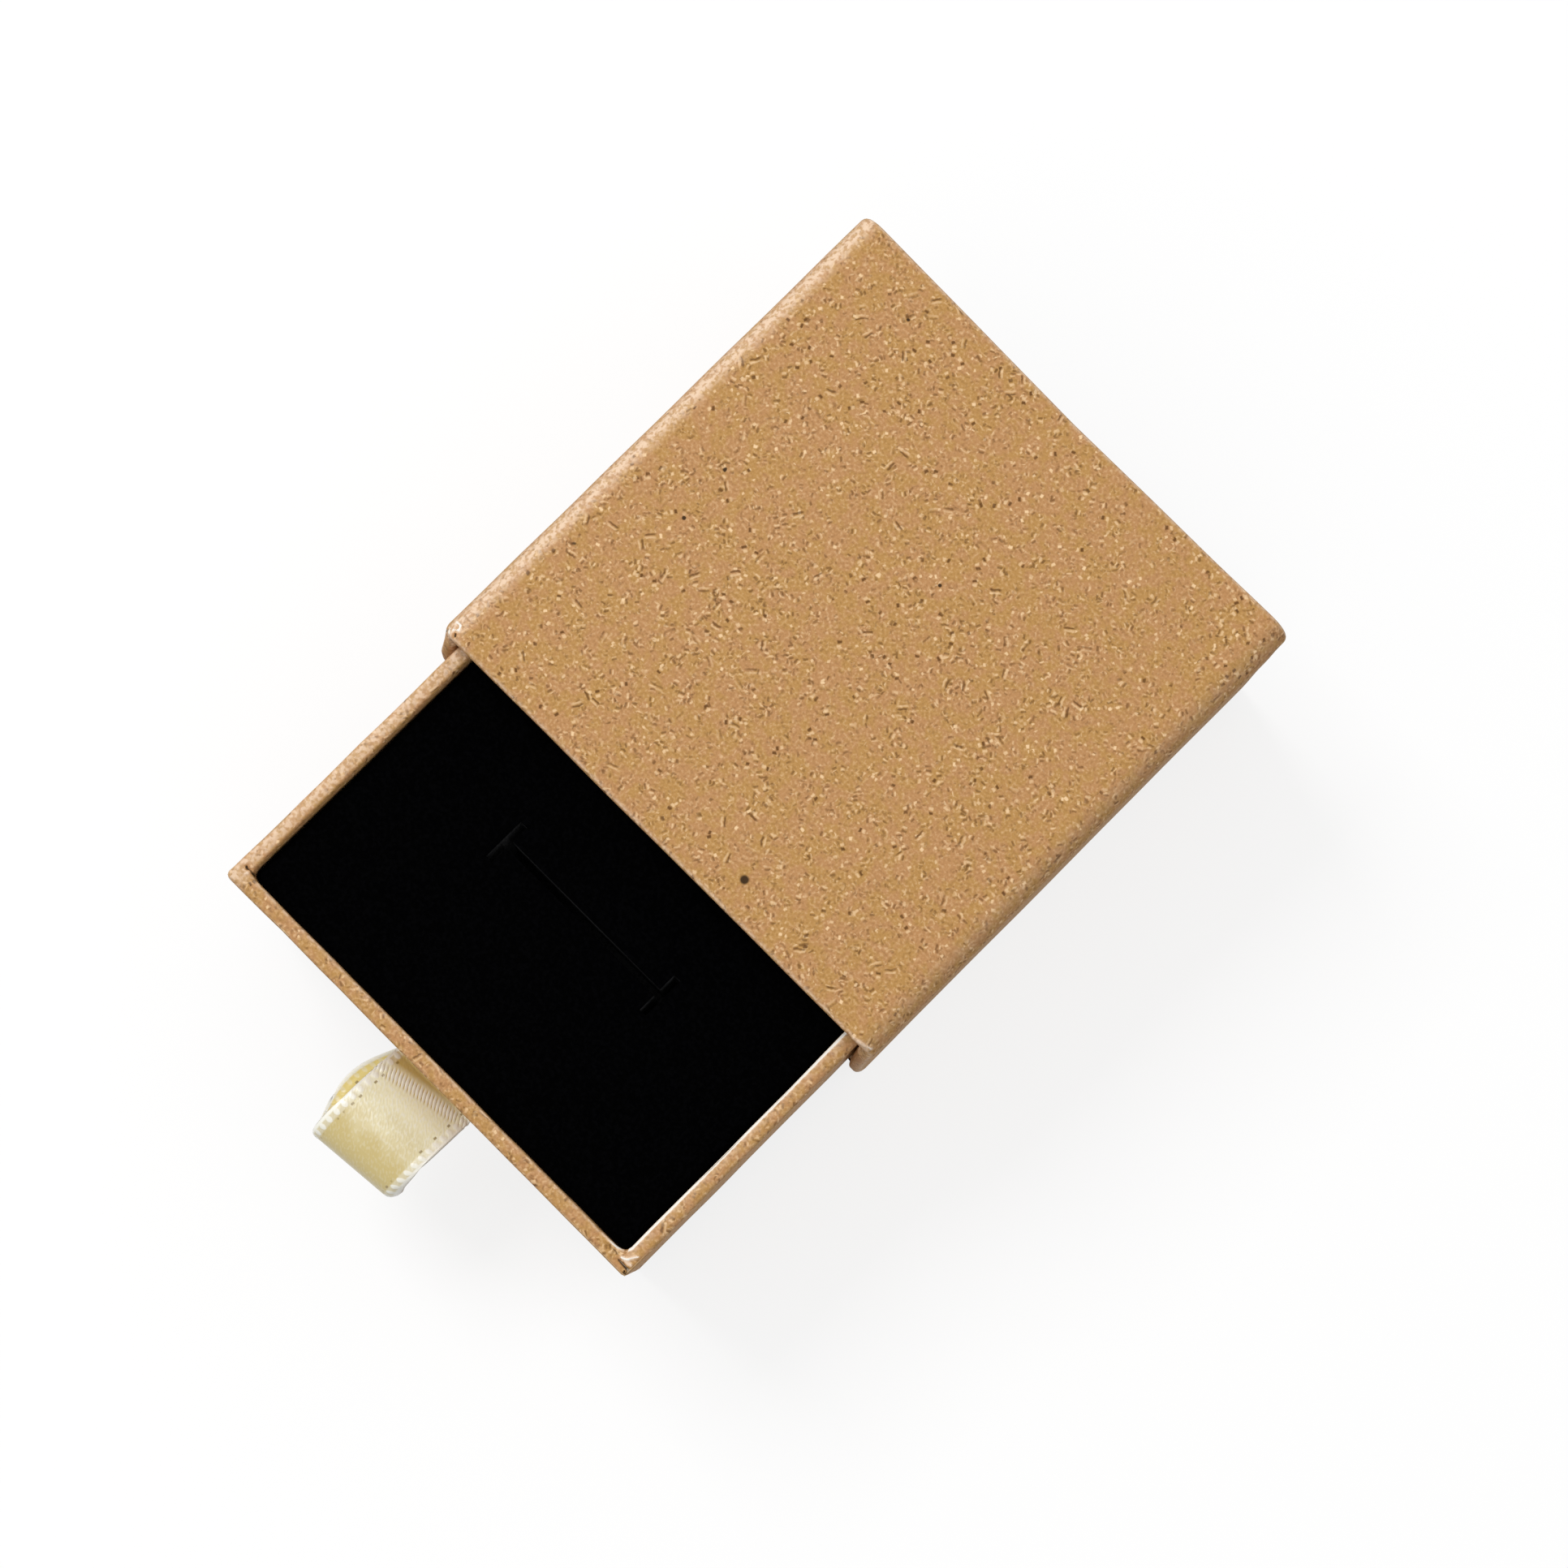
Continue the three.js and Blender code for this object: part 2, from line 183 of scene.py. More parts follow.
# Each layer of flecks: spacing, length and width in mm, and how dark and pale they are
board_flecks = (
    (0.60, 0.55, 0.14, 0.55, 0.35),
    (1.30, 0.45, 0.26, 0.70, 0.70),
)
# Where flecks are thick and where they are gone, as levels of a noise. Its patches are so many
# spacings wide, and each layer is shifted by so many mm.
fleck_levels = (0.60, 0.44)
fleck_patch_spacings = 2.2
fleck_layer_shift = 7.3


def vector(tree, operation, first, second=(0, 0, 0)):
    """The outcome of a vector operation: a vector, or a number for a dot product or length."""
    made = node(tree, "ShaderNodeVectorMath", {0: first, 1: second}, operation=operation)
    return made.outputs["Value" if operation in ("DOT_PRODUCT", "LENGTH") else "Vector"]


def fade(tree, value, full, gone):
    """1 at a value of full and past it, falling to 0 at gone, whichever of them is larger."""
    made = node(tree, "ShaderNodeMapRange",
                {"Value": value, "From Min": full, "From Max": gone, "To Min": 1.0, "To Max": 0.0},
                interpolation_type="SMOOTHSTEP")
    return made.outputs[0]


def mix_colour(tree, share, first, second):
    """The first colour where the share is 0, and the second where it is 1."""
    made = node(tree, "ShaderNodeMix", {"Factor": share}, data_type="RGBA")
    for socket, colour in ((made.inputs[6], first), (made.inputs[7], second)):
        if isinstance(colour, bpy.types.NodeSocket):
            tree.links.new(colour, socket)
        else:
            socket.default_value = colour
    return made.outputs[2]


def lay_colour(tree, colour, tint, mask, share):
    """The colour with a tint over it where the mask is, up to that share."""
    return mix_colour(tree, times(tree, mask, share), colour, tint)


def clouds(tree, place, size, detail=1, outcome=0, **more):
    """Soft noise with patches of about that size, mostly between 0.3 and 0.7."""
    inputs = {"Vector": place, "Scale": 1 / size, "Detail": detail, **more}
    kind = "4D" if "W" in more else "3D"
    made = node(tree, "ShaderNodeTexNoise", inputs, noise_dimensions=kind)
    return made.outputs[outcome]


def flecks(tree, place, facing, spacing, length, width, shift):
    """Masks of short, soft-edged fibres that lie in the surface, each its own way, and of a strip
    beside each. A fibre belongs to one cell, and shows where the cell's middle is near."""
    place = vector(tree, "ADD", place, (shift, shift, shift))
    cell = node(tree, "ShaderNodeTexVoronoi", {"Vector": place, "Scale": 1 / spacing}).outputs
    way = vector(tree, "SUBTRACT", cell["Color"], (0.5, 0.5, 0.5))
    across_way = vector(tree, "NORMALIZE", vector(tree, "CROSS_PRODUCT", facing, way))
    along_way = vector(tree, "CROSS_PRODUCT", facing, across_way)
    offset = vector(tree, "SUBTRACT", place, cell["Position"])
    along = number(tree, "ABSOLUTE", vector(tree, "DOT_PRODUCT", offset, along_way))
    depth = number(tree, "ABSOLUTE", vector(tree, "DOT_PRODUCT", offset, facing))
    across = vector(tree, "DOT_PRODUCT", offset, across_way)
    near = fade(tree, depth, spacing / 5, spacing / 4)
    body = times(tree, fade(tree, along, length / 4, length / 2), near)
    masks = []
    for middle in (0, width):
        gap = number(tree, "ABSOLUTE", number(tree, "SUBTRACT", across, middle))
        masks.append(times(tree, body, fade(tree, gap, width / 6, width / 2)))
    return masks


def lay_flecks(tree, colour, place, facing, layers, dark, pale):
    """The colour with layers of flecks in it, thicker in some places than in others."""
    for count, (spacing, length, width, dark_share, pale_share) in enumerate(layers):
        masks = flecks(tree, place, facing, spacing * mm, length * mm, width * mm,
                       count * fleck_layer_shift * mm)
        thick = clouds(tree, place, fleck_patch_spacings * spacing * mm, W=count)
        gate = fade(tree, thick, *fleck_levels)
        for mask, tint, share in zip(masks, (dark, pale), (dark_share, pale_share)):
            colour = lay_colour(tree, colour, tint, times(tree, mask, gate), share)
    return colour


def new_finish(name, roughness, specular):
    """A material with its tree, its shader, and the place and facing of a point of the piece."""
    made = bpy.data.materials.new(name)
    made.use_nodes = True
    shader = made.node_tree.nodes["Principled BSDF"]
    shader.inputs["Roughness"].default_value = roughness
    shader.inputs["Specular IOR Level"].default_value = specular
    given = node(made.node_tree, "ShaderNodeTexCoord").outputs
    return made, made.node_tree, shader, given["Object"], given["Normal"]


def relief(tree, shader, height, distance, strength=1.0):
    """Roughens the look of a surface by a height pattern, up to that distance."""
    bump = node(tree, "ShaderNodeBump",
                {"Height": height, "Distance": distance, "Strength": strength})
    tree.links.new(bump.outputs[0], shader.inputs["Normal"])


def finish_nodes(finish, *names):
    """Gives the finish to parts of the frame that show as they are."""
    for name in names:
        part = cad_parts[name]
        part.data.materials.clear()
        part.data.materials.append(finish)


greyboard, tree, shader, place, facing = new_finish("greyboard", roughness=0.85, specular=0.25)
patches = clouds(tree, place, board_cloud_size, detail=3)
colour = mix_colour(tree, patches, board_grey, board_brown)
colour = lay_flecks(tree, colour, place, facing, board_flecks, board_dark, board_pale)
tree.links.new(colour, shader.inputs["Base Color"])
relief(tree, shader, clouds(tree, place, board_grain_size, detail=2), board_relief)
finish_nodes(greyboard, "sleeve_top_board", "sleeve_bottom_board", "sleeve_left_board",
             "sleeve_right_board")


# The sleeve's wrap
# One sheet of unbleached kraft paper, with short curved wood fibres and a few specks of bark.
# It is glued round the four boards and turned in round both open ends. Folds are painted
# paler: a painted highlight, strongest on the left fold, which faces the lamp, with some rubbing.
sleeve_low, sleeve_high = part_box("sleeve_wrap")
right = Vector((1, 0, 0))
back = Vector((0, 1, 0))
up = Vector((0, 0, 1))
axes = (right, back, up)
paper_thickness = 0.16 * mm
wall_thickness = 1.62 * mm
sleeve_turn_in = 12 * mm
long_fold_radius = 2.4 * mm
mouth_fold_radius = 0.55 * mm
seam_gap = 0.5 * mm
sleeve_unevenness = 0.07 * mm
unevenness_size = 9 * mm
cut_spacing = 2.4 * mm
merge_distance = 0.01 * mm
crease_spacing = 0.12 * mm
crease_reach = 2.7 * mm
crease_cut_depth = long_fold_radius * 1.2
corner_swell_radius = 1.1 * mm
left_end_swell = 1.3 * mm
right_end_swell = 0.9 * mm
end_swell_start = 0.25
end_swell_drop = 6.5 * mm
end_swell_reach = 3.0 * mm
back_skew = 0.8 * mm
# A face looks a way if its normal's share of it is over this, and up or down a little past these
facing_share = 0.9
barely_up = 0.05
barely_down = -0.1
# How pale each fold is painted, as painted highlight with some rubbing, how much nearer the
# top its pale band lies, and how narrow it is
left_fold_highlight = 0.88
right_fold_highlight = 0.10
mouth_fold_highlight = 0.50
fold_highlight_tilt = 1.3
fold_highlight_narrowness = 1.6
mouth_highlight_narrowness = 2
mouth_highlight_reach = mouth_fold_radius * 0.8
# Each crease: its two ends and its width in mm, how far it lifts in mm, and how it is painted:
# a painted highlight above 0 and painted shade below 0. Places are from the front corner that it
# lies at, as (inwards, back).
left_mouth_creases = (
    ((0.70, 1.50), (1.28, 1.44), 0.14, 0.08, 0.98),
    ((1.28, 1.44), (1.48, 1.01), 0.15, 0.08, 1.10),
    ((1.48, 1.01), (1.10, 0.70), 0.14, 0.08, 1.05),
    ((0.90, 0.78), (0.72, 1.35), 0.12, 0.05, 0.90),
    ((1.05, 1.10), (1.12, 1.16), 0.14, -0.05, 0.10),
    ((0.45, 0.48), (0.95, 0.25), 0.13, 0.05, 1.00),
    ((1.42, 0.60), (1.60, 0.38), 0.16, -0.12, -1.0),
)
right_mouth_creases = (
    ((2.40, 0.10), (1.20, 0.34), 0.14, 0.06, 0.85),
    ((0.95, 0.45), (0.62, 0.58), 0.14, 0.10, 0.95),
)

kraft_tan = (0.510, 0.268, 0.095, 1)
kraft_gold = (0.515, 0.284, 0.084, 1)
kraft_pink = (0.538, 0.276, 0.120, 1)
kraft_cream = (0.930, 0.650, 0.370, 1)
kraft_dark = (0.130, 0.050, 0.008, 1)
# Bark specks, and the same dark brown as painted shade in creases
kraft_bark_and_shade = (0.050, 0.023, 0.006, 1)
kraft_worn_highlight = (0.900, 0.670, 0.480, 1)
kraft_white_highlight = (0.980, 0.940, 0.860, 1)
kraft_cloud_size = 1.4 * mm
kraft_grain_size = 0.30 * mm
kraft_relief = 0.03 * mm
worn_highlight_patch_size = 0.45 * mm
fibre_bend_size = 0.7 * mm
fibre_bend = 0.30 * mm
bark_spacing = 9.0 * mm
bark_size = 0.26 * mm
kraft_tan_share = 0.35
pale_grain_share = 0.26
dark_grain_share = 0.22
least_worn_highlight = 0.40
most_worn_highlight = 0.92
# Each pair is where a look is full and where it is gone, as levels of a noise or of the wear and painted
# light
kraft_pink_levels = (0.62, 0.38)
pale_grain_levels = (0.72, 0.50)
dark_grain_levels = (0.28, 0.50)
worn_highlight_levels = (0.62, 0.38)
white_highlight_levels = (0.98, 0.80)
crease_shade_levels = (-0.8, -0.1)
# Larger pieces of bark in the sleeve's sheet: a place and a radius in mm, blurred at the edge
sleeve_specks = ((8.4, -24.2, 33, 0.42), (-26.2, 11.0, 32.5, 0.22), (-19.3, -4.4, 33, 0.20),
                 (1.9, 7.8, 33, 0.18))
speck_blur = 0.3
kraft_flecks = (
    (0.46, 0.50, 0.26, 0.40, 0.46),
    (0.64, 0.64, 0.30, 0.62, 0.62),
    (0.92, 0.38, 0.34, 0.00, 0.76),
    (1.60, 0.52, 0.40, 0.92, 0.66),
    (1.90, 0.46, 0.38, 0.00, 1.00),
    (2.60, 1.30, 0.28, 0.78, 0.50),
)


def round_speck(tree, place, middle, core, edge):
    """A mask that is full up to its core from the middle, and gone at its edge."""
    reach = vector(tree, "LENGTH", vector(tree, "SUBTRACT", place, middle))
    return fade(tree, reach, core, edge)


def scattered(tree, place, spacing, core, edge):
    """A mask of round specks about that far apart."""
    cell = node(tree, "ShaderNodeTexVoronoi", {"Vector": place, "Scale": 1 / spacing}).outputs
    return round_speck(tree, place, cell["Position"], core, edge)


def kraft_paper(name, specks=()):
    """The kraft finish. The attribute wear_and_painted_light is 0 on flat sheet and up to 1 on folds
    that are painted pale, as painted highlight with some rubbing, near white at 1 as a painted
    highlight, and below 0 painted shade in a dark crease."""
    paper, tree, shader, place, facing = new_finish(name, roughness=0.60, specular=0.16)
    wander = clouds(tree, place, fibre_bend_size, outcome="Color")
    shift = vector(tree, "SUBTRACT", wander, (0.5, 0.5, 0.5))
    shift = vector(tree, "MULTIPLY", shift, (fibre_bend, fibre_bend, fibre_bend))
    bent = vector(tree, "ADD", place, shift)
    patches = clouds(tree, place, kraft_cloud_size, detail=2)
    colour = mix_colour(tree, fade(tree, patches, *kraft_pink_levels), kraft_gold, kraft_pink)
    colour = mix_colour(tree, kraft_tan_share, colour, kraft_tan)
    grain = clouds(tree, place, kraft_grain_size)
    pale_grain = fade(tree, grain, *pale_grain_levels)
    colour = lay_colour(tree, colour, kraft_cream, pale_grain, pale_grain_share)
    dark_grain = fade(tree, grain, *dark_grain_levels)
    colour = lay_colour(tree, colour, kraft_dark, dark_grain, dark_grain_share)
    colour = lay_flecks(tree, colour, bent, facing, kraft_flecks, kraft_dark, kraft_cream)
    wear_and_painted_light = node(tree, "ShaderNodeAttribute", attribute_name="wear_and_painted_light").outputs["Fac"]
    # Folds painted pale in speckled patches, as painted highlight with some rubbing, and near white where
    # the painted highlight is strongest
    worn_highlight = fade(tree, clouds(tree, bent, worn_highlight_patch_size, detail=2), *worn_highlight_levels)
    worn_highlight = times(tree, number(tree, "ADD", worn_highlight, least_worn_highlight), wear_and_painted_light)
    colour = mix_colour(tree, number(tree, "MINIMUM", worn_highlight, most_worn_highlight), colour, kraft_worn_highlight)
    colour = mix_colour(tree, fade(tree, wear_and_painted_light, *white_highlight_levels), colour, kraft_white_highlight)
    # Painted shade: dark creases and slits are painted with the bark colour
    colour = mix_colour(tree, fade(tree, wear_and_painted_light, *crease_shade_levels), colour, kraft_bark_and_shade)
    bark = scattered(tree, bent, bark_spacing, bark_size / 2, bark_size)
    colour = mix_colour(tree, bark, colour, kraft_bark_and_shade)
    for *middle, radius in specks:
        bark = round_speck(tree, place, Vector(middle) * mm, radius * (1 - speck_blur) * mm,
                           radius * (1 + speck_blur) * mm)
        colour = mix_colour(tree, bark, colour, kraft_bark_and_shade)
    tree.links.new(colour, shader.inputs["Base Color"])
    relief(tree, shader, grain, kraft_relief)
    return paper


def block(low, high):
    """A six-sided block between two corners."""
    mesh = bmesh.new()
    bmesh.ops.create_cube(mesh, size=1)
    bmesh.ops.scale(mesh, vec=high - low, verts=mesh.verts)
    bmesh.ops.translate(mesh, vec=(low + high) / 2, verts=mesh.verts)
    mesh.normal_update()
    return mesh


def faces_towards(mesh, way):
    """The faces that look one way, or nearly."""
    return [face for face in mesh.faces if face.normal.dot(way) > facing_share]


def extent(edge, axis):
    """How far an edge reaches along an axis."""
    return abs(edge.verts[0].co[axis] - edge.verts[1].co[axis])


def edges_round(mesh, is_end):
    """The edges where faces that are ends meet faces that aren't."""
    return [edge for edge in mesh.edges if len(edge.link_faces) == 2
            and is_end(edge.link_faces[0]) != is_end(edge.link_faces[1])]


def move(mesh, parts, way):
    """Moves those of the parts that are points, by a vector."""
    corners = [part for part in parts if isinstance(part, bmesh.types.BMVert)]
    bmesh.ops.translate(mesh, vec=way, verts=corners)


def sink(mesh, faces, way):
    """Draws faces inwards by a vector and leaves the pocket's far end open."""
    moved = bmesh.ops.extrude_face_region(mesh, geom=faces)["geom"]
    move(mesh, moved, way)
    ends = [part for part in moved if isinstance(part, bmesh.types.BMFace)]
    ends += [face for face in faces if face.is_valid]
    bmesh.ops.delete(mesh, geom=ends, context="FACES_ONLY")


def turn_in(mesh, faces, wall, depth):
    """Folds an open face's edge in over the wall's end and down inside it."""
    bmesh.ops.inset_individual(mesh, faces=faces, thickness=wall, use_even_offset=True)
    for face in faces:
        sink(mesh, [face], -face.normal * depth)
    mesh.normal_update()


def soften(mesh, edges, radius, steps, clamp=False):
    """Rounds edges. A clamp keeps the rounding smaller where it would meet another."""
    bmesh.ops.bevel(mesh, geom=edges, offset=radius, offset_type="OFFSET", affect="EDGES",
                    segments=steps, profile=0.5, material=-1, clamp_overlap=clamp)
    mesh.normal_update()


def cut(mesh, faces, point, normal):
    """Cuts the faces along a plane."""
    edges = {edge for face in faces for edge in face.edges}
    corners = {corner for face in faces for corner in face.verts}
    bmesh.ops.bisect_plane(mesh, geom=list(corners) + list(edges) + list(faces),
                           dist=merge_distance, plane_co=point, plane_no=normal)


def cut_across(mesh, lowest, highest):
    """Even cuts across all three axes, so that the sheet can bend a little."""
    for low, high, normal in zip(lowest, highest, axes):
        count = int((high - low) / cut_spacing)
        for step in range(1, count):
            cut(mesh, mesh.faces[:], normal * (low + (high - low) * step / count), normal)
        mesh.normal_update()


def clean(mesh):
    """Merges points that cuts have left on top of each other."""
    bmesh.ops.remove_doubles(mesh, verts=mesh.verts, dist=merge_distance)
    bmesh.ops.dissolve_degenerate(mesh, edges=mesh.edges, dist=merge_distance)
    mesh.normal_update()


def make_uneven(mesh, amount, size, outward=0.0):
    """A hand-wrapped sheet isn't quite flat. Outward is how far it lies out on average."""
    for corner in mesh.verts:
        swing = noise.noise(corner.co / size)
        corner.co += corner.normal * amount * (swing + outward)


def bend(first, second):
    """0 where a sheet faces one of two ways, given its normal's shares, and 1 half way between."""
    return sqrt(2) * min(abs(first), abs(second)) / max(0.01, hypot(first, second))


def mark_wear_and_painted_light(mesh, amount_at):
    """Notes at each point of a wrap its wear and painted light, for the kraft finish."""
    layer = mesh.verts.layers.float.new("wear_and_painted_light")
    for corner in mesh.verts:
        corner[layer] = amount_at(corner)


def limited(value):
    """The value, held between 0 and 1."""
    return min(1.0, max(0.0, value))


def crease(mesh, origin, ways, creases):
    """Cuts the upper faces at a front corner finely, and lays creases in them, each lifted and
    painted: a painted highlight on a ridge, painted shade in a slit. Places are from the origin,
    along the two ways."""
    far = origin + (ways[0] + ways[1]) * crease_reach
    low = [min(origin[axis], far[axis]) for axis in (0, 1)]
    high = [max(origin[axis], far[axis]) for axis in (0, 1)]
    count = round(crease_reach / crease_spacing)
    for axis in (0, 1):
        for step in range(count + 1):
            near = [f for f in mesh.faces if f.normal.z > barely_down
                    and all(max(v.co[side] for v in f.verts) > low[side]
                            and min(v.co[side] for v in f.verts) < high[side] for side in (0, 1))
                    and min(v.co.z for v in f.verts) > origin.z - crease_cut_depth]
            cut(mesh, near, axes[axis] * (low[axis] + crease_reach * step / count), axes[axis])
    clean(mesh)
    layer = mesh.verts.layers.float["wear_and_painted_light"]
    for corner in mesh.verts:
        if corner.co.z < origin.z - long_fold_radius or corner.normal.z < barely_up:
            continue
        for start, end, width, lift, painted_tone in creases:
            start = origin + (ways[0] * start[0] + ways[1] * start[1]) * mm
            end = origin + (ways[0] * end[0] + ways[1] * end[1]) * mm
            flat = corner.co.copy()
            flat.z = origin.z
            share = limited((flat - start).dot(end - start) / (end - start).length_squared)
            bell = exp(-((flat - start.lerp(end, share)).length / (width * mm)) ** 2)
            corner.co += corner.normal * lift * mm * bell
            corner[layer] = corner[layer] * (1 - bell) + painted_tone * bell
    mesh.normal_update()


def crease_front(mesh, low, high, left_creases, right_creases):
    """Lays creases in both upper front corners of a wrap."""
    crease(mesh, Vector((low.x, low.y, high.z)), (right, back), left_creases)
    crease(mesh, Vector((high.x, low.y, high.z)), (-right, back), right_creases)


def finish_piece(mesh, name, body, finish, slot, *nodes):
    """Makes the piece's object, smooth shaded, and hands it to the frame."""
    data = bpy.data.meshes.new(name)
    for face in mesh.faces:
        face.smooth = True
    mesh.to_mesh(data)
    mesh.free()
    data.materials.append(finish)
    piece = bpy.data.objects.new(name, data)
    bpy.context.scene.collection.objects.link(piece)
    if body:
        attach(piece, body)
    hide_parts(*nodes)
    return piece


def thicken(piece, thickness, offset=-1):
    """The sheet's thickness. An offset of -1 keeps its outer face where it is."""
    solid = piece.modifiers.new("thickness", "SOLIDIFY")
    solid.thickness = thickness
    solid.offset = offset


def sleeve_wear_and_highlight(corner):
    """How pale the sleeve is painted at a point, as painted highlight with some rubbing: most on
    its long left fold, which faces the lamp, little on the right, and round its mouths.
    """
    normal = corner.normal
    amount = left_fold_highlight if corner.co.x < 0 else right_fold_highlight
    amount *= bend(normal.x * fold_highlight_tilt, normal.z) ** fold_highlight_narrowness
    from_mouth = min(corner.co.y - sleeve_low.y, sleeve_high.y - corner.co.y)
    if from_mouth < mouth_highlight_reach:
        fold = bend(normal.y, hypot(normal.x, normal.z))
        amount = max(amount, mouth_fold_highlight * fold ** mouth_highlight_narrowness)
    return amount


def swell(mesh):
    """Rounds the sleeve's upper front left corner, and swells both walls' front ends out below
    their corners. The sleeve's left side is a little longer at the back."""
    corner_x, corner_y = sleeve_low.x, sleeve_low.y
    for corner in mesh.verts:
        behind = max(0.0, corner.co.y / sleeve_high.y)
        corner.co.y += back_skew * behind ** 3 * max(0.0, corner.co.x / corner_x)
        in_x = corner_swell_radius - (corner.co.x - corner_x)
        in_y = corner_swell_radius - (corner.co.y - corner_y)
        below = (sleeve_high.z - corner.co.z) / end_swell_drop
        share = limited(below - end_swell_start)
        if min(in_x, in_y) > 0:
            pull = (1 - share) * (1 - max(in_x, in_y) / hypot(in_x, in_y))
            corner.co += Vector((in_x, in_y, 0)) * pull
        back_share = limited((corner.co.y - corner_y) / end_swell_reach)
        foot = min(1.0, corner.co.z / end_swell_drop)
        if abs(corner.co.x) > sleeve_high.x - wall_thickness - merge_distance:
            bulge = left_end_swell if corner.co.x < 0 else right_end_swell
            corner.co.y -= bulge * share * foot * (1 - back_share) ** 2


def at_mouth(face):
    return abs(face.normal.y) > facing_share


sleeve_paper = kraft_paper("sleeve_kraft", sleeve_specks)
mesh = block(sleeve_low, sleeve_high)
turn_in(mesh, [f for f in mesh.faces if at_mouth(f)], wall_thickness, sleeve_turn_in)
long_edges = [e for e in mesh.edges if extent(e, 1) > sleeve_turn_in * 2]
soften(mesh, long_edges, long_fold_radius, steps=8)
soften(mesh, edges_round(mesh, at_mouth), mouth_fold_radius, steps=4)
cut_across(mesh, sleeve_low, sleeve_high)
for side in (-1, 1):
    cut(mesh, mesh.faces[:], (side * seam_gap / 2, 0, 0), right)
mesh.normal_update()
seam = [f for f in faces_towards(mesh, -up) if abs(f.calc_center_median().x) < seam_gap / 2]
bmesh.ops.delete(mesh, geom=seam, context="FACES")
clean(mesh)
mark_wear_and_painted_light(mesh, sleeve_wear_and_highlight)
crease_front(mesh, sleeve_low, sleeve_high, left_mouth_creases, right_mouth_creases)
swell(mesh)
make_uneven(mesh, sleeve_unevenness, unevenness_size)
sleeve_wrap = finish_piece(mesh, "sleeve_kraft_wrap", "sleeve", sleeve_paper, "kraft_paper",
                           "sleeve_wrap")
thicken(sleeve_wrap, paper_thickness)


# The sleeve's bottom sheet
# A second, flat sheet of the same kraft, pasted under the sleeve over the seam where the wrap's
# two edges meet.
finish_nodes(sleeve_paper, "sleeve_bottom_sheet")


# The drawer's boards
# A base and four walls of the same greyboard, butted and glued, with a slot through the front
# wall for the ribbon.
finish_nodes(greyboard, "tray_base_board", "tray_front_board", "tray_back_board",
             "tray_left_board", "tray_right_board")


# The drawer's corner stays
# Strips of smooth gummed brown paper, folded round the outside of the drawer's four corners to
# hold the walls together until they are wrapped.
stay_brown = (0.560, 0.380, 0.200, 1)
stay_deep = (0.440, 0.280, 0.130, 1)
stay_cloud_size = 2.5 * mm
stay_grain_size = 0.3 * mm
stay_relief = 0.02 * mm

gummed_paper, tree, shader, place, facing = new_finish("gummed_paper", roughness=0.38,
                                                       specular=0.5)
patches = clouds(tree, place, stay_cloud_size, detail=4)
colour = mix_colour(tree, patches, stay_brown, stay_deep)
colour = lay_flecks(tree, colour, place, facing, kraft_flecks[:2], kraft_dark, kraft_cream)
tree.links.new(colour, shader.inputs["Base Color"])
relief(tree, shader, clouds(tree, place, stay_grain_size, detail=2), stay_relief)
finish_nodes(gummed_paper, "corner_stay_front_left", "corner_stay_front_right",
             "corner_stay_back_left", "corner_stay_back_right")


# The drawer's wrap
# One sheet of kraft paper over the drawer's underside and walls, turned over the rim and down
# inside the walls. The ribbon's slot is cut through it. At the front corners its flaps overlap.
drawer_low, drawer_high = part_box("tray_wrap")
drawer_turn_in = 12 * mm
rim_outer_radius = 0.50 * mm
rim_inner_radius = 0.40 * mm
corner_radius = 0.55 * mm
inner_corner_radius = 0.9 * mm
drawer_unevenness = 0.10 * mm
drawer_unevenness_size = 5.5 * mm
drawer_outward = -0.4
slot_level = 15.08 * mm
slot_half_width = 5.2 * mm
slot_half_height = 0.5 * mm
# How pale the rim is painted: its lips, and its left wall in a band whose middle and half width
# are shares of the wall, get a painted highlight, and the rest some rubbing. The right lip is a
# near-white painted highlight right over.
right_lip_highlight = 1.0
right_lip_highlight_gain = 1.9
front_lip_highlight = 0.48
lip_width = 0.1 * mm
left_rim_highlight = 0.66
left_rim_middle = 0.6
left_rim_half_width = 0.5
rim_rub = 0.10
# Creases of the front corners, where the turned-in flaps lie on each other, with painted
# highlights on ridges and painted shade in slits
left_flap_creases = (
    ((1.10, 1.84), (2.31, 1.90), 0.14, -0.10, -1.0),
    ((0.90, 1.92), (0.94, 1.86), 0.17, -0.10, -1.1),
    ((1.42, 1.64), (1.30, 1.45), 0.18, 0.12, 0.9),
    ((0.20, 0.55), (0.95, 0.40), 0.22, 0.06, 0.6),
)
right_flap_creases = (
    ((1.60, 0.90), (0.02, 0.78), 0.15, -0.12, -1.0),
    ((1.40, 1.14), (0.70, 1.12), 0.15, 0.05, 0.75),
    ((1.62, 1.16), (0.95, 1.46), 0.19, 0.14, 1.05),
    ((1.00, 1.55), (0.50, 2.30), 0.17, 0.14, 1.05),
    ((0.53, 1.31), (0.45, 1.30), 0.18, 0.10, 1.00),
    ((2.70, 1.52), (2.10, 1.80), 0.18, 0.06, 1.10),
    ((2.65, 1.23), (2.02, 1.14), 0.12, -0.08, -0.5),
    ((1.80, 2.00), (1.60, 1.70), 0.12, -0.08, -0.5),
)
front_face = drawer_low.y
wall_inside = front_face + wall_thickness


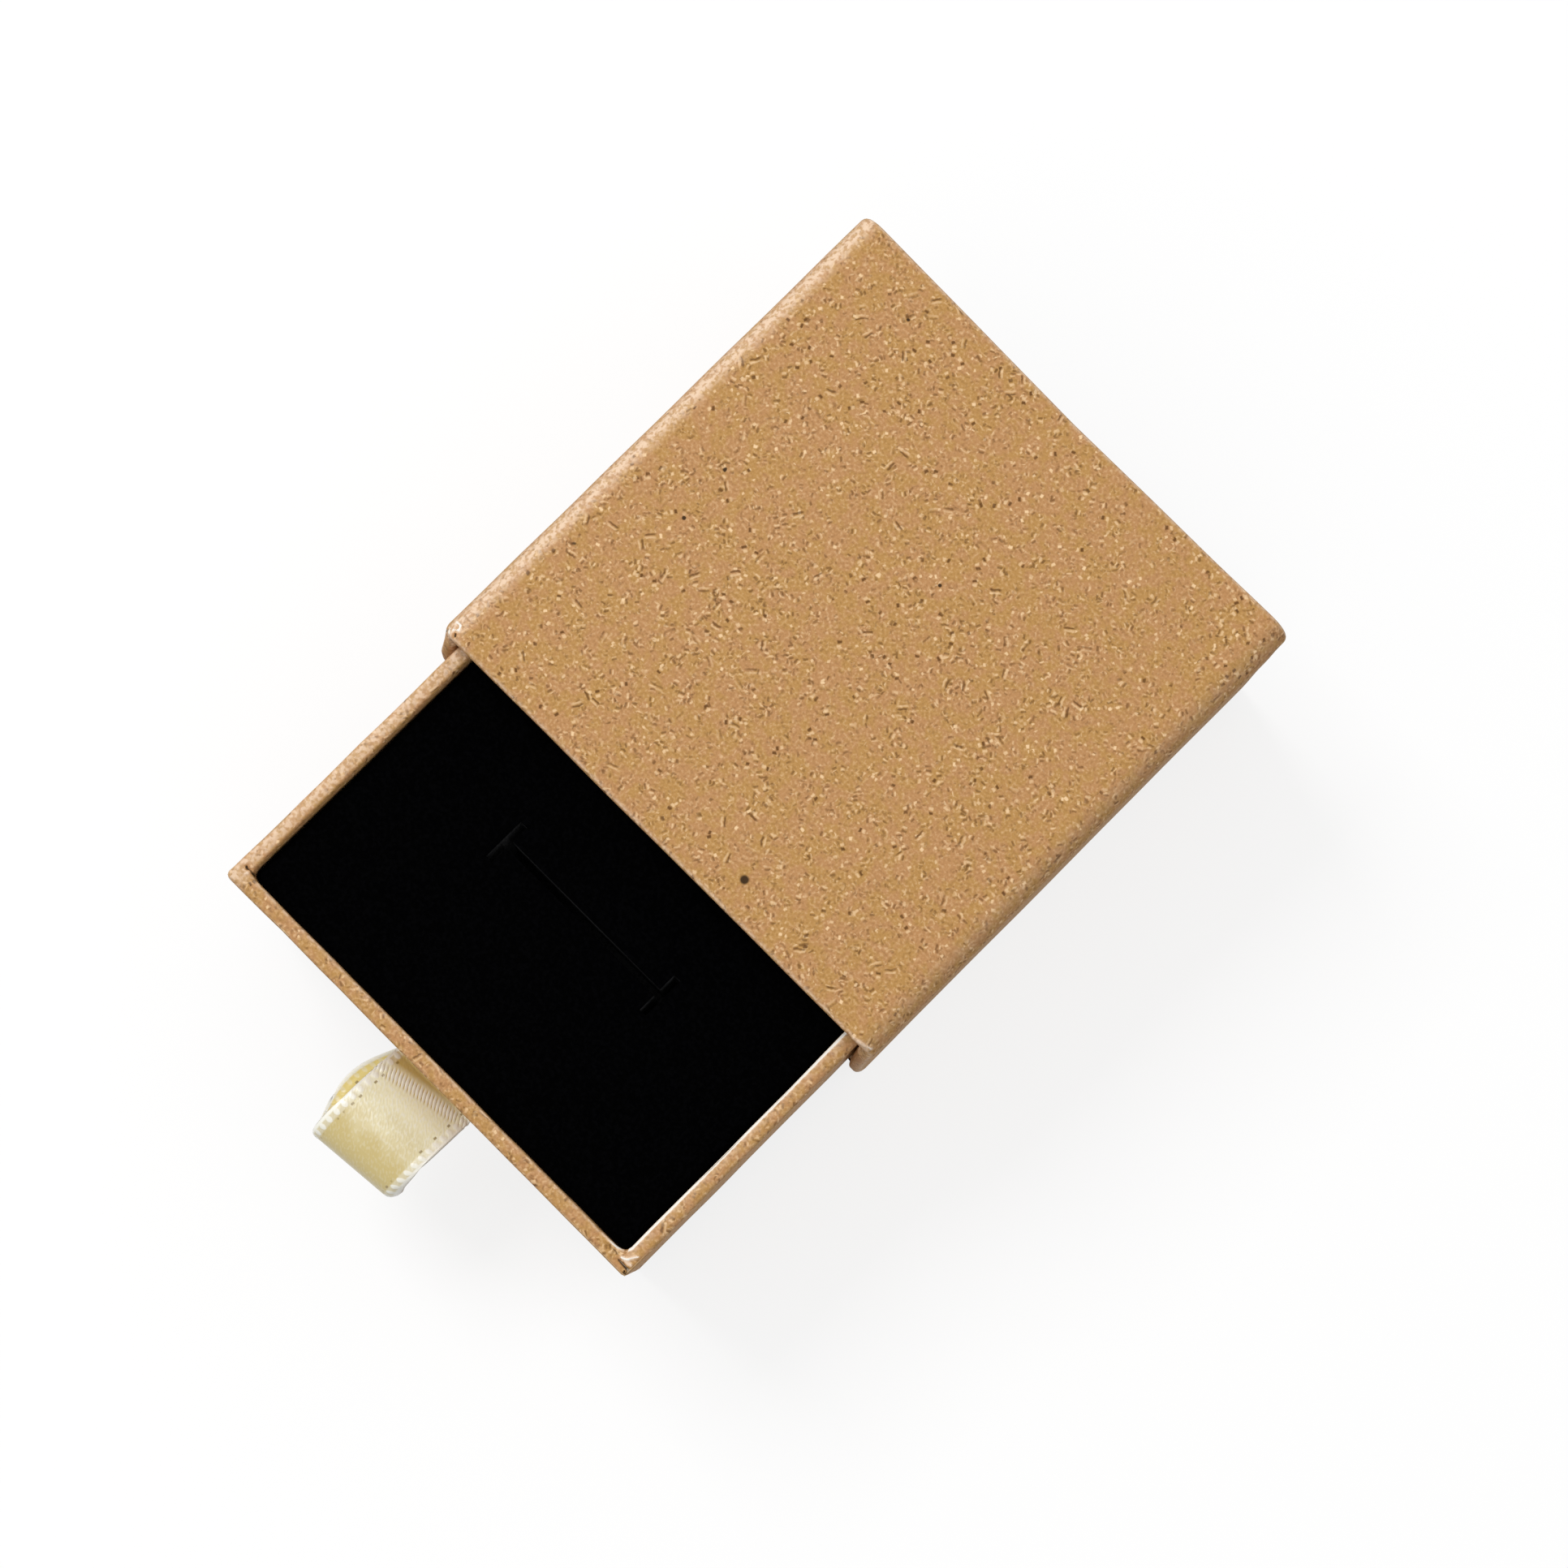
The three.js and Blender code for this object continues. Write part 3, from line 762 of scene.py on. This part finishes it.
def drawer_wear_and_highlight(corner):
    """How pale the drawer is painted at a point: a painted highlight, palest on the lips and the
    left wall of its rim, and a little rubbing on the rest.
    """
    normal = corner.normal
    inside = drawer_high.x - wall_thickness
    fold = bend(normal.z, hypot(normal.x, normal.y))
    if normal.z < barely_up:
        return rim_rub * bend(normal.x, normal.y)
    if corner.co.x < -inside:
        outwards = (-corner.co.x - inside) / wall_thickness
        off_band = (outwards - left_rim_middle) / left_rim_half_width
        return left_rim_highlight * max(0.0, 1 - off_band ** 2)
    if normal.x < -barely_up and corner.co.x > inside - lip_width:
        return right_lip_highlight * min(1.0, fold * right_lip_highlight_gain)
    if normal.y > barely_up and corner.co.y < wall_inside + lip_width:
        return front_lip_highlight * fold
    return rim_rub * fold


def on_rim(face):
    return face.normal.z > facing_share


def is_inner(corner):
    """Whether a point of the rim lies on the inner half of its wall."""
    return (abs(corner.co.x) < drawer_high.x - wall_thickness / 2
            and front_face + wall_thickness / 2 < corner.co.y < drawer_high.y - wall_thickness / 2)


drawer_paper = kraft_paper("drawer_kraft")
mesh = block(drawer_low, drawer_high)
turn_in(mesh, faces_towards(mesh, up), wall_thickness, drawer_turn_in)
outer_corners = [e for e in mesh.edges if extent(e, 2) > drawer_turn_in * 1.5]
soften(mesh, outer_corners, corner_radius, steps=4)
inner_corners = [e for e in mesh.edges if extent(e, 2) > drawer_turn_in * 0.9
                 and abs(e.verts[0].co.x) < drawer_high.x - wall_thickness / 2]
soften(mesh, inner_corners, inner_corner_radius, steps=3)
rim_edges = edges_round(mesh, on_rim)
inner_edges = [e for e in rim_edges if all(is_inner(v) for v in e.verts)]
outer_edges = [e for e in rim_edges if e not in inner_edges]
soften(mesh, outer_edges, rim_outer_radius, steps=4)
soften(mesh, [e for e in inner_edges if e.is_valid], rim_inner_radius, steps=4)
cut_across(mesh, drawer_low, drawer_high)
for side in (-1, 1):
    cut(mesh, faces_towards(mesh, -back), (side * slot_half_width, 0, 0), right)
    level = slot_level + side * slot_half_height
    cut(mesh, faces_towards(mesh, -back), (0, 0, level), up)
mesh.normal_update()
slot = []
for face in faces_towards(mesh, -back):
    middle = face.calc_center_median()
    if abs(middle.x) < slot_half_width and abs(middle.z - slot_level) < slot_half_height:
        slot.append(face)
bmesh.ops.delete(mesh, geom=slot, context="FACES")
clean(mesh)
mark_wear_and_painted_light(mesh, drawer_wear_and_highlight)
crease_front(mesh, drawer_low, drawer_high, left_flap_creases, right_flap_creases)
make_uneven(mesh, drawer_unevenness, drawer_unevenness_size, drawer_outward)
mesh.normal_update()
drawer_wrap = finish_piece(mesh, "drawer_kraft_wrap", "drawer", drawer_paper, "kraft_paper",
                           "tray_wrap")
thicken(drawer_wrap, paper_thickness)


# The drawer's base lining
# A loose-cut sheet of the same kraft, pasted on the base inside the walls, under the foam.
finish_nodes(drawer_paper, "tray_base_lining")


# The ribbon pull
# One length of cream satin ribbon with stitched selvedges. Its two ends go through the slot
# together and are glued up and down behind the wall, and the rest is the loop outside.
ribbon_width = 10 * mm
ribbon_thickness = 0.3 * mm
ribbon_tail = 6 * mm
ribbon_crease = 0.25 * mm
ribbon_crease_steps = 6
ply_gap = 0.02 * mm
loop_root = front_face - 0.5 * mm
bend_before = 0.4 * mm
bend_past = 1.5 * mm
loop_reach = 10.95 * mm
loop_half_height = 2.9 * mm
loop_skew = 0.45 * mm
lower_ply_bow = 1.8 * mm
upper_ply_crown = 0.22 * mm
right_tip_radius = 1.1 * mm
left_tip_radius = 0.4 * mm
pucker_height = 0.06 * mm
pucker_spacing = 0.43 * mm
pucker_slant = 0.55
pucker_reach = 0.58 * mm
pucker_start = 1.75 * mm
pucker_lean = -0.20
bead_height = 0.07 * mm
bead_spacing = 0.97 * mm
bead_row = 4.45 * mm
bead_radius = 0.40 * mm
hole_row = 3.90 * mm
loop_steps = 121
line_step = 0.02 * mm
easing_rounds = 6
slope_steps = 3
fine_zone = 3.6 * mm
fine_step = 0.11 * mm
coarse_step = 0.24 * mm
ribbon_columns = 160

satin_cream = (1.000, 0.970, 0.700, 1)
satin_straw = (0.640, 0.505, 0.194, 1)
satin_pearl = (1.000, 0.985, 0.880, 1)
# The mustard is painted shade, in the puckers' troughs and under the rim
satin_shade_mustard = (0.600, 0.400, 0.050, 1)
satin_gold = (1.000, 0.820, 0.270, 1)
satin_hole = (0.260, 0.170, 0.040, 1)
satin_patch_size = 2.6 * mm
satin_relief = 0.03 * mm
satin_relief_strength = 0.8
# The ribbon's UV map is in mm, and so are these. Each pair is where a look is full and where it
# is gone: first from the loop's root, and then from the ribbon's middle.
satin_drift = 4.0
root_highlight_zone = (3.5, 9.5)
pucker_zone = (0.30, 1.05)
root_shade_zone = (0.25, 1.30)
pucker_sides = (3.6, 4.0)
selvedge_band = (4.20, 3.95)
rim_band = (4.80, 4.62)
hole_sides = (0.05, 0.18)
dimple_size = 0.22
dimple_stretch = 0.6
missing_size = 1.1
# The same pairs, as levels of a noise or a wave
pale_dimple = (0.68, 0.50)
dark_dimple = (0.32, 0.48)
crest_highlight_levels = (0.6, 0.0)
trough_shade_levels = (-0.5, 0.2)
pearl_levels = (0.45, 1.15)
hole_levels = (-0.75, -0.2)
missing_levels = (0.58, 0.42)
# How strong each look is, and how much less a dimple or a pearl shows where it is weakest
pale_dimple_share = 0.45
least_dimple = 0.25
dark_dimple_share = 0.15
root_shade_share = 0.80
lower_ply_share = 0.75
selvedge_share = 0.35
pearl_length = 0.8
least_pearl = 0.35
upper_pearl = 0.55
hole_share = 0.8


def ribbon_line():
    """The ribbon's middle line as places (y, z), from its upper end to its lower end."""
    half = (ribbon_thickness + ply_gap) / 2
    tail_y = wall_inside + ribbon_thickness / 2
    upper = [(tail_y, slot_level + ribbon_tail)]
    for step in range(ribbon_crease_steps + 1):
        angle = -pi / 2 * step / ribbon_crease_steps
        upper.append((tail_y - ribbon_crease * (1 - cos(angle)),
                      slot_level + half + ribbon_crease * (1 + sin(angle))))
    upper.append((loop_root, slot_level + half))
    # The loop is a drop, whose own half height is 4 / (3 sqrt 3)
    drop_height = loop_half_height / (4 / (3 * sqrt(3)))
    first = sqrt(2 * half / drop_height)
    loop = []
    for step in range(1, loop_steps):
        angle = first + (2 * pi - 2 * first) * step / loop_steps
        loop.append((loop_root - loop_reach * (1 - cos(angle)) / 2,
                     slot_level + drop_height * sin(angle) * sin(angle / 2)))
    lower = [(y, 2 * slot_level - z) for y, z in reversed(upper)]
    return upper + loop + lower


def evenly(line, spacing):
    """The line again, as places about that far apart, with its sharp turns eased."""
    spans = [hypot(b[0] - a[0], b[1] - a[1]) for a, b in zip(line, line[1:])]
    count = int(sum(spans) / spacing)
    step = sum(spans) / count
    places = [line[0]]
    span, used = 0, 0.0
    for _ in range(count - 1):
        used += step
        while used > spans[span]:
            used -= spans[span]
            span += 1
        share = used / spans[span]
        a, b = line[span], line[span + 1]
        places.append((a[0] + (b[0] - a[0]) * share, a[1] + (b[1] - a[1]) * share))
    places.append(line[-1])
    for _ in range(easing_rounds):
        eased = places[:]
        for index in range(1, len(places) - 1):
            before, here, after = places[index - 1:index + 2]
            eased[index] = tuple((a + 2 * b + c) / 4 for a, b, c in zip(before, here, after))
        places = eased
    return places, step


def ribbon_stations(places, step):
    """How many steps along the line each row of the mesh lies: closer where the satin puckers."""
    rows = [0]
    while rows[-1] < len(places) - 1:
        y = places[rows[-1]][0]
        upper = rows[-1] < len(places) / 2
        fine = upper and loop_root - fine_zone < y < loop_root
        rows.append(rows[-1] + round((fine_step if fine else coarse_step) / step))
    rows[-1] = len(places) - 1
    return rows


def ribbon_place(across, index, places, step, root):
    """A point of the ribbon's middle surface, with the loop's skew, bow, puckers and beads."""
    y, z = places[index]
    before = places[max(index - slope_steps, 0)]
    after = places[min(index + slope_steps, len(places) - 1)]
    along = Vector((0, after[0] - before[0], after[1] - before[1])).normalized()
    outward = Vector((0, along.z, -along.y))
    share = limited((loop_root - y) / loop_reach)
    side = across / (ribbon_width / 2)
    lower = index > len(places) / 2
    radius = right_tip_radius if across > 0 else left_tip_radius
    past = limited((abs(across) - ribbon_width / 2 + radius) / radius)
    shorter = radius * (1 - sqrt(1 - past * past))
    place = Vector((across, y + (loop_skew * side + shorter) * share, z))
    height = 0
    if lower:
        place.x -= lower_ply_bow * sin(pi * share)
    elif share > 0:
        height += upper_ply_crown * (1 - side * side) * sin(pi * share)
        from_root = index * step - root
        near = exp(-((from_root - pucker_start - pucker_lean * across) / pucker_reach) ** 2)
        turns = (across - pucker_slant * from_root) / pucker_spacing
        height += pucker_height * near * sin(2 * pi * turns)
    off_row = min(1.0, abs(abs(across) - bead_row) / bead_radius)
    bead = cos(pi * index * step / bead_spacing) ** 2
    height += bead_height * bead * (1 - off_row ** 2)
    return place + outward * height


places, step = evenly(ribbon_line(), line_step)
rows = ribbon_stations(places, step)
ribbon_length = step * (len(places) - 1)
ribbon_root = step * next(index for index, place in enumerate(places) if place[0] < loop_root)

# The satin's colours follow the ribbon: straw yellow, with a painted highlight that makes it
# paler near the slot, painted highlights and painted shade on its puckers, painted shade under
# the rim, and a row of pearls and holes woven into each selvedge.
satin, tree, shader, place, facing = new_finish("cream_satin", roughness=0.36, specular=0.9)
given = node(tree, "ShaderNodeUVMap", uv_map="ribbon").outputs[0]
parted = node(tree, "ShaderNodeSeparateXYZ", {0: given}).outputs
across, along = parted[0], parted[1]
from_middle = number(tree, "ABSOLUTE", across)
from_root = number(tree, "SUBTRACT", along, ribbon_root / mm)
patches = clouds(tree, place, satin_patch_size, detail=2)
drift = times(tree, number(tree, "SUBTRACT", patches, 0.5), satin_drift)
# Painted highlight: the satin is paler from the loop's root to about half way along, and its dimples show
# more there
root_highlight = fade(tree, number(tree, "ADD", from_root, drift), *root_highlight_zone)
colour = mix_colour(tree, root_highlight, satin_straw, satin_cream)
turns = number(tree, "SUBTRACT", across, times(tree, from_root, pucker_slant))
slanted = node(tree, "ShaderNodeCombineXYZ", {0: turns, 1: times(tree, along, dimple_stretch)})
dimple = clouds(tree, slanted.outputs[0], dimple_size, detail=0)
crisp = times(tree, number(tree, "ADD", root_highlight, least_dimple), pale_dimple_share)
colour = lay_colour(tree, colour, satin_pearl, fade(tree, dimple, *pale_dimple), crisp)
crisp = times(tree, crisp, dark_dimple_share)
colour = lay_colour(tree, colour, satin_straw, fade(tree, dimple, *dark_dimple), crisp)

from_lean = number(tree, "SUBTRACT", from_root, times(tree, across, pucker_lean))
off_pucker = number(tree, "ABSOLUTE", number(tree, "SUBTRACT", from_lean, pucker_start / mm))
inside = fade(tree, from_middle, *pucker_sides)
puckered = times(tree, fade(tree, off_pucker, *pucker_zone), inside)
wave = number(tree, "SINE", times(tree, turns, 2 * pi * mm / pucker_spacing))
# Painted highlight on each pucker's crest and painted shade in its trough
colour = lay_colour(tree, colour, satin_pearl, fade(tree, wave, *crest_highlight_levels), puckered)
colour = lay_colour(tree, colour, satin_shade_mustard, fade(tree, wave, *trough_shade_levels), puckered)
# Painted shade: the satin near the root, under the wall's rim, is darkened to mustard
shaded = fade(tree, from_lean, *root_shade_zone)
colour = lay_colour(tree, colour, satin_shade_mustard, shaded, root_shade_share)
half_way = ribbon_length / mm / 2
upper = fade(tree, along, half_way - 0.5, half_way + 0.5)
lower = number(tree, "SUBTRACT", 1.0, upper)
colour = lay_colour(tree, colour, satin_gold, lower, lower_ply_share)

# Each pearl is an oval on the selvedge, and the holes lie on its inner side between the pearls
selvedge = times(tree, fade(tree, from_middle, *selvedge_band), selvedge_share)
colour = lay_colour(tree, colour, satin_pearl, selvedge, upper)
colour = mix_colour(tree, fade(tree, from_middle, *rim_band), colour, satin_pearl)
bead_step = number(tree, "DIVIDE", along, bead_spacing / mm)
bead_turn = number(tree, "COSINE", times(tree, bead_step, 2 * pi))
off_row = number(tree, "SUBTRACT", from_middle, bead_row / mm)
off_row = number(tree, "DIVIDE", off_row, bead_radius / mm)
off_bead = times(tree, number(tree, "SUBTRACT", 1.0, bead_turn), pearl_length)
off_pearl = number(tree, "ADD", times(tree, off_row, off_row), off_bead)
pearly = number(tree, "ADD", times(tree, upper, upper_pearl), least_pearl)
colour = lay_colour(tree, colour, satin_pearl, fade(tree, off_pearl, *pearl_levels), pearly)
off_holes = number(tree, "ABSOLUTE", number(tree, "SUBTRACT", from_middle, hole_row / mm))
between = fade(tree, bead_turn, *hole_levels)
hole = times(tree, fade(tree, off_holes, *hole_sides), between)
kept = fade(tree, clouds(tree, given, missing_size, detail=0), *missing_levels)
colour = lay_colour(tree, colour, satin_hole, times(tree, hole, kept), hole_share)
tree.links.new(colour, shader.inputs["Base Color"])
shader.inputs["Anisotropic"].default_value = 0.6
shader.inputs["Sheen Weight"].default_value = 0.30
shader.inputs["Sheen Roughness"].default_value = 0.4
tangent = node(tree, "ShaderNodeTangent", direction_type="UV_MAP", uv_map="ribbon").outputs[0]
tree.links.new(tangent, shader.inputs["Tangent"])
relief(tree, shader, dimple, satin_relief, satin_relief_strength)

mesh = bmesh.new()
bmesh.ops.create_grid(mesh, x_segments=ribbon_columns, y_segments=len(rows) - 1, size=0.5)
threads = mesh.loops.layers.uv.new("ribbon")
spots = {}
for corner in mesh.verts:
    index = rows[round((corner.co.y + 0.5) * (len(rows) - 1))]
    across = corner.co.x * ribbon_width
    spots[corner] = (across / mm, index * step / mm)
    corner.co = ribbon_place(across, index, places, step, ribbon_root)
for face in mesh.faces:
    for loop in face.loops:
        loop[threads].uv = spots[loop.vert]
mesh.normal_update()
ribbon = finish_piece(mesh, "ribbon_pull_satin", None, satin, "satin_ribbon", "ribbon_loop",
                      "ribbon_tails")
thicken(ribbon, ribbon_thickness, 0)
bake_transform(ribbon, "drawer", "ribbon_pull", start=(0, loop_root + bend_before, slot_level),
         end=(0, loop_root - bend_past, slot_level))


# The ribbon's tape
# A patch of gummed paper, pasted over the ribbon's two ends behind the front wall.
finish_nodes(gummed_paper, "ribbon_tape")


# The foam pad
# A block of fine black foam that fills the drawer. It is slit from above, with a short cut
# across each end of the slit, and its cells show where it is cut.
foam_low, foam_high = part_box("foam_pad")
pad_low, pad_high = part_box("pad_velvet")
slit_length = 21 * mm
slit_width = 0.8 * mm
slit_cross = 4.5 * mm
slit_depth = 14 * mm
slit_middle = front_face + 20.5 * mm
foam_black = (0.012, 0.012, 0.012, 1)
foam_grey = (0.030, 0.030, 0.031, 1)
foam_cell_size = 0.45 * mm
foam_cell_levels = (0.15, 0.55)
foam_relief = 0.12 * mm
foam_edge_radius = 0.3 * mm
foam_edge_angle = radians(60)


def inside_slit(place):
    """Whether a point of the pad lies in its long slit, or in the short cut at either end."""
    off_end = abs(abs(place.x) - (slit_length - slit_width) / 2)
    off_middle = abs(place.y - slit_middle)
    if off_end < slit_width / 2 and off_middle < slit_cross / 2:
        return True
    return abs(place.x) < slit_length / 2 and off_middle < slit_width / 2


def slit_faces(mesh):
    """Cuts the slit's outline into a pad's top, and gives the faces inside it."""
    for side in (-1, 1):
        for reach in (slit_length / 2, slit_length / 2 - slit_width):
            cut(mesh, faces_towards(mesh, up), (side * reach, 0, 0), right)
        for reach in (slit_cross / 2, slit_width / 2):
            cut(mesh, faces_towards(mesh, up), (0, slit_middle + side * reach, 0), back)
    mesh.normal_update()
    return [f for f in faces_towards(mesh, up) if inside_slit(f.calc_center_median())]


def on_foam_side(corner):
    """Whether a point lies on one of the foam's four sides."""
    place = corner.co
    return (abs(place.x) > foam_high.x - merge_distance or place.y < foam_low.y + merge_distance
            or place.y > foam_high.y - merge_distance)


foam, tree, shader, place, facing = new_finish("black_foam", roughness=0.95, specular=0.1)
cells = node(tree, "ShaderNodeTexVoronoi", {"Vector": place, "Scale": 1 / foam_cell_size})
from_cell = cells.outputs["Distance"]
colour = mix_colour(tree, fade(tree, from_cell, *foam_cell_levels), foam_grey, foam_black)
tree.links.new(colour, shader.inputs["Base Color"])
relief(tree, shader, from_cell, foam_relief)
mesh = block(foam_low, foam_high)
pocket = slit_faces(mesh)
moved = bmesh.ops.extrude_face_region(mesh, geom=pocket)["geom"]
move(mesh, moved, -up * slit_depth)
bmesh.ops.delete(mesh, geom=[f for f in pocket if f.is_valid], context="FACES_ONLY")
block_edges = [e for e in mesh.edges if e.is_manifold and e.calc_face_angle() > foam_edge_angle
               and not any(inside_slit(v.co) for v in e.verts)
               and all(on_foam_side(v) for v in e.verts)]
soften(mesh, block_edges, foam_edge_radius, steps=2, clamp=True)
foam_block = finish_piece(mesh, "slit_foam_pad", "drawer", foam, "black_foam", "foam_pad")


# The pad's velvet
# Deep black velvet, glued over the foam's face and turned down its four sides. It is slit like
# the foam, with its cut edges rolled down a little, and holds a few specks of lint.
velvet_thickness = 0.5 * mm
velvet_roll = 0.7 * mm
lip_roll = 0.35 * mm
velvet_squeeze = 0.20 * mm
velvet_black = (0.0004, 0.0004, 0.0005, 1)
velvet_nap = (0.0012, 0.0012, 0.0015, 1)
lint_grey = (0.030, 0.031, 0.036, 1)
nap_size = 0.35 * mm
nap_levels = (0.4, 0.7)
nap_relief = 0.12 * mm
lint_spacing = 7.0 * mm
lint_size = 0.16 * mm

velvet, tree, shader, place, facing = new_finish("black_velvet", roughness=1.0, specular=0.01)
nap = clouds(tree, place, nap_size, detail=3)
colour = mix_colour(tree, fade(tree, nap, *nap_levels), velvet_nap, velvet_black)
lint = scattered(tree, place, lint_spacing, lint_size / 3, lint_size)
colour = mix_colour(tree, lint, colour, lint_grey)
tree.links.new(colour, shader.inputs["Base Color"])
shader.inputs["Sheen Weight"].default_value = 0.006
shader.inputs["Sheen Roughness"].default_value = 0.35
relief(tree, shader, nap, nap_relief)

squeeze = Vector((velvet_squeeze, velvet_squeeze, 0))
mesh = block(pad_low - squeeze, pad_high + squeeze)
bmesh.ops.delete(mesh, geom=faces_towards(mesh, -up), context="FACES_ONLY")
folds = [e for e in mesh.edges if len(e.link_faces) == 2]
soften(mesh, folds, velvet_roll, steps=5, clamp=True)
bmesh.ops.delete(mesh, geom=slit_faces(mesh), context="FACES")
lips = [e for e in mesh.edges if e.is_boundary and e.verts[0].co.z > pad_high.z - merge_distance]
lowered = bmesh.ops.extrude_edge_only(mesh, edges=lips)["geom"]
move(mesh, lowered, -up * lip_roll)
soften(mesh, [e for e in lips if e.is_valid], lip_roll / 2, steps=3, clamp=True)
bmesh.ops.recalc_face_normals(mesh, faces=mesh.faces)
pad_face = finish_piece(mesh, "pad_velvet_cover", "drawer", velvet, "black_velvet", "pad_velvet")
thicken(pad_face, velvet_thickness)
